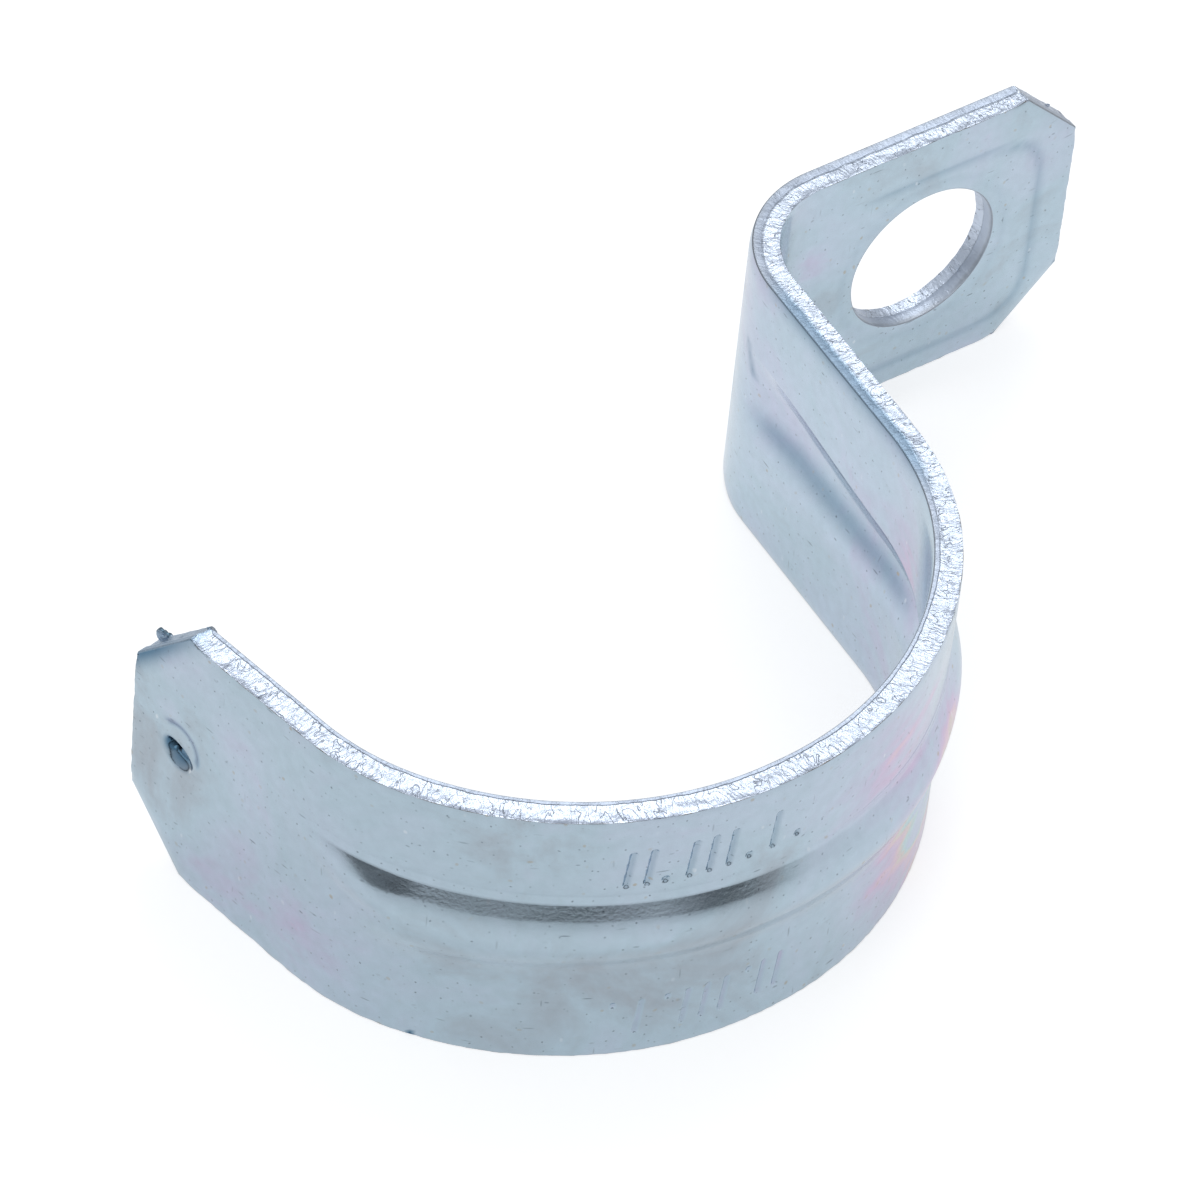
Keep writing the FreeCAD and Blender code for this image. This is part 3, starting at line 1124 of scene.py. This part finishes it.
# %% The cut edge: zones
sheared, tree, shader = start_material("bright zinc plate on sheared steel")
flat_place = node(tree, "Attribute", attribute_name="flat").outputs["Vector"]
cut = node(tree, "Attribute", attribute_name="cut_depth").outputs["Fac"]
waver = node(tree, "TexNoise", {"Vector": flat_place, "Scale": 1 / (1.6 * MM), "Detail": 3.0})
nudge = node(tree, "MapRange", {0: waver, 3: -0.06, 4: 0.06})
run = node(tree, "SeparateXYZ", {"Vector": flat_place}).outputs["X"]
# Each change along the strip: where it starts and ends, and the values before and after it.
NECK_WIDENS = (24.0, 44.0, 1.5, 0.64)
NECK_DARKENS = (24.0, 44.0, 1.0, 0.74)
FOOT_LIGHTENS = (74.0, 90.0, 0.0, 0.24)
changes = []
for start, end, before, after in (NECK_WIDENS, NECK_DARKENS, FOOT_LIGHTENS):
    changing = {0: run, 1: start * MM, 2: end * MM, 3: before, 4: after}
    changes.append(node(tree, "MapRange", changing))
widening, neck, foot = changes
smooth_shade = node(tree, "Math", {0: neck, 1: foot}, operation="ADD")
nudged = node(tree, "Math", {0: cut, 1: nudge}, operation="ADD")
scaled = node(tree, "Math", {0: nudged, 1: widening}, operation="MULTIPLY")
held = node(tree, "Math", {0: scaled, 1: 0.9}, operation="MINIMUM")
far_side = node(tree, "MapRange", {0: nudged, 1: 0.9, 2: 1.0})
level = node(tree, "Mix", {0: far_side, 2: held, 3: nudged}, data_type="FLOAT")
zones = node(tree, "ValToRGB", {"Fac": level})
CUT_ZONES = [
    (0.0, "#B0B7C0"),
    (0.04, "#C2CCDA"),
    (0.20, "#BAC5D6"),
    (0.235, "#A6B0BE"),
    (0.27, "#D0DAE9"),
    (0.945, "#CDD7E7"),
    (0.968, "#948F8A"),
    (1.0, "#6E6863"),
]
fill_ramp(zones.color_ramp, CUT_ZONES)
torn_here = node(tree, "MapRange", {0: level, 1: 0.22, 2: 0.28})
print("zones across a cut:", len(CUT_ZONES))

# %% [markdown]
# Torn steel breaks into small facets that each mirror another part of the room. A strong bump of coarse
# and fine noise gives the facets, finer towards the neck. Where another noise crosses its middle value
# it draws thin dark cracks.

# %% The cut edge: cracks and glitter
streaked = node(tree, "Mapping", {"Vector": flat_place, "Scale": (1, 0.42, 1)})
lines = node(
    tree, "TexNoise", {"Vector": streaked, "Scale": 1 / (1.5 * MM), "Detail": 2.0, "Distortion": 1.4},
)
from_middle = node(tree, "Math", {0: lines, 1: 0.5}, operation="SUBTRACT")
ridge = node(tree, "Math", {0: from_middle}, operation="ABSOLUTE")
crack = node(tree, "MapRange", {0: ridge, 2: 0.012})
chunks = node(
    tree, "TexNoise", {"Vector": streaked, "Scale": 1 / (0.8 * MM), "Detail": 5.0, "Roughness": 0.55},
)
grains = node(
    tree, "TexNoise", {"Vector": streaked, "Scale": 1 / (0.38 * MM), "Detail": 4.0, "Roughness": 0.6},
)
fineness = node(tree, "MapRange", {0: run, 1: -30 * MM, 2: 0.0, 3: 0.2, 4: 0.85})
deeper = node(tree, "MapRange", {0: chunks, 3: -0.6, 4: 1.6})
sugar = node(tree, "Mix", {0: fineness, 2: deeper, 3: grains}, data_type="FLOAT")
rough_height = node(tree, "Math", {0: crack, 1: 0.12, 2: sugar}, operation="MULTIPLY_ADD")
how_rough = node(tree, "MapRange", {0: torn_here, 3: 0.5, 4: 1.0})
height = node(tree, "Math", {0: rough_height, 1: how_rough}, operation="MULTIPLY")
FACET_HEIGHT = 0.15
bump = node(tree, "Bump", {"Height": height, "Distance": FACET_HEIGHT * MM, "Strength": 1.0})
feed(tree, shader, {"Normal": bump})
print("torn facets: about", FACET_HEIGHT, "mm high")

# %% The cut edge: colour and gloss
dark_crack = node(tree, "MapRange", {0: crack, 3: 0.42, 4: 1.0})
shade = node(tree, "Mix", {0: torn_here, 2: smooth_shade, 3: dark_crack}, data_type="FLOAT")
edge_colour = node(tree, "VectorMath", {0: zones, "Scale": shade}, operation="SCALE")
# The stain value here also carries painted shade: the blue on the free end's clip face.
edge_stain_and_shade = node(tree, "Attribute", attribute_name="stain_and_shade").outputs["Fac"]
edge_stained_and_shaded = node(
    tree, "Mix", {0: edge_stain_and_shade, 6: edge_colour, 7: colour("#5E8FAE")}, data_type="RGBA",
).outputs[2]
dull = node(tree, "MapRange", {0: torn_here, 3: 0.42, 4: 0.28})
feed(tree, shader, {"Metallic": 1.0, "Base Color": edge_stained_and_shaded, "Roughness": dull})
print("material:", sheared.name)
strap.data.materials[0] = zinc
strap.data.materials[1] = sheared

# %% [markdown]
# ## The finished piece
# The strap is one piece, so it rides on the part's one body and takes the place of the plain solid.

# %% The piece stands for the CAD node
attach(strap, "root")
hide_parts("strap")

# %% [markdown]
# ## Floor, light and camera
# The strap stands on a plain white floor under soft light. Metal shows what is round it more than it
# shows its own colour, so the floor and the sky matter as much as the lamps. To the camera the floor is
# white. To the metal it is pale close by and darkens further out, as where a lit table ends.

# %% Floor
FLOOR_SIZE = 0.8
FLOOR_GREY = 0.6
tidy_selection()
bpy.ops.mesh.primitive_plane_add(size=FLOOR_SIZE, location=(0, 0, 0))
floor = bpy.context.object
floor.name = "floor"
paper, tree, shader = start_material("white studio floor")
feed(tree, shader, {"Base Color": (FLOOR_GREY, FLOOR_GREY, FLOOR_GREY, 1), "Roughness": 0.9})
rays = node(tree, "LightPath")
here = node(tree, "TexCoord").outputs["Object"]
away = node(tree, "VectorMath", {0: here, 1: (0.03, 0.01, 0)}, operation="DISTANCE").outputs["Value"]
glow = node(tree, "MapRange", {0: away, 1: 0.02, 2: 0.18, 3: 0.43, 4: 0.1})
glossy = node(tree, "Math", {0: rays.outputs["Is Glossy Ray"], 1: glow}, operation="MULTIPLY")
seen = node(
    tree, "Math", {0: rays.outputs["Is Camera Ray"], 1: 0.6, 2: glossy}, operation="MULTIPLY_ADD",
)
feed(tree, shader, {"Emission Color": (1, 1, 1, 1), "Emission Strength": seen})
floor.data.materials.append(paper)
print("floor:", FLOOR_SIZE, "m wide")

# %% [markdown]
# The room is a dome that is dark at the horizon and pale overhead. The dark horizon is what draws the
# dark streaks along the rib, where its flank tilts just enough to mirror it. The camera sees plain
# white.

# %% World
world = bpy.data.worlds.new("studio")
bpy.context.scene.world = world
world.use_nodes = True
tree = world.node_tree
tree.nodes.clear()
rays = node(tree, "LightPath")
place = node(tree, "TexCoord").outputs["Generated"]
height = node(tree, "SeparateXYZ", {"Vector": place}).outputs["Z"]
sky = node(tree, "ValToRGB", {"Fac": height})
SKY = [
    (0.0, "#0E0F10"),
    (0.03, "#191B1D"),
    (0.08, "#666A6F"),
    (0.157, "#A9ADB2"),
    (0.3, "#C4C8CD"),
    (0.5, "#D2D5D9"),
]
fill_ramp(sky.color_ramp, SKY)
plain = node(tree, "Background", {"Color": sky, "Strength": 1.0})
white = node(tree, "Background", {"Color": (1, 1, 1, 1), "Strength": 1.0})
both = node(tree, "MixShader", {0: rays.outputs["Is Camera Ray"], 1: plain, 2: white})
node(tree, "OutputWorld", {"Surface": both})
print("steps of the sky:", len(SKY))

# %% [markdown]
# Two large soft boxes give the upper edge its sparkle and leave hardly any shadow on the floor.

# %% Lamps
def soft_lamp(name, place, aim, size, power):
    """A square soft box that points at a spot."""
    bpy.ops.object.light_add(type="AREA", location=place)
    lamp = bpy.context.object
    lamp.name = name
    lamp.data.shape = "SQUARE"
    lamp.data.size = size
    lamp.data.energy = power
    lamp.rotation_euler = (Vector(aim) - Vector(place)).to_track_quat("-Z", "Y").to_euler()
    print(name, "of", power, "W")


tidy_selection()
soft_lamp("key lamp", (-0.6, -0.3, 1.0), (0, 0, 0), 0.6, 2.0)
soft_lamp("back lamp", (0.42, 0.50, 1.13), (0, 0, 0), 0.64, 3.0)

# %% [markdown]
# The camera stands far off with a long lens, as for a catalogue, and looks down on the strap's front
# left.

# %% Camera
AZIMUTH = math.radians(-38.391)
ELEVATION = math.radians(46.389)
ROLL = math.radians(6.007)
DISTANCE = 697.8
LENS = 243.66
aim = Vector((6.456, 2.68, WIDTH / 2)) * MM
back = Vector((
    math.sin(AZIMUTH) * math.cos(ELEVATION),
    -math.cos(AZIMUTH) * math.cos(ELEVATION),
    math.sin(ELEVATION),
))
right = Vector((math.cos(AZIMUTH), math.sin(AZIMUTH), 0))
up = back.cross(right)
tilted_right = right * math.cos(ROLL) + up * math.sin(ROLL)
tilted_up = up * math.cos(ROLL) - right * math.sin(ROLL)
bpy.ops.object.camera_add()
camera = bpy.context.object
camera.matrix_world = Matrix.Translation(aim + back * DISTANCE * MM) @ Matrix((
    (tilted_right.x, tilted_up.x, back.x),
    (tilted_right.y, tilted_up.y, back.y),
    (tilted_right.z, tilted_up.z, back.z),
)).to_4x4()
camera.data.sensor_width = 36
camera.data.lens = LENS
camera.data.clip_start = 0.01
bpy.context.scene.camera = camera
bpy.context.scene.view_settings.view_transform = "Standard"
print("camera at", [round(v, 3) for v in camera.matrix_world.translation], "m")
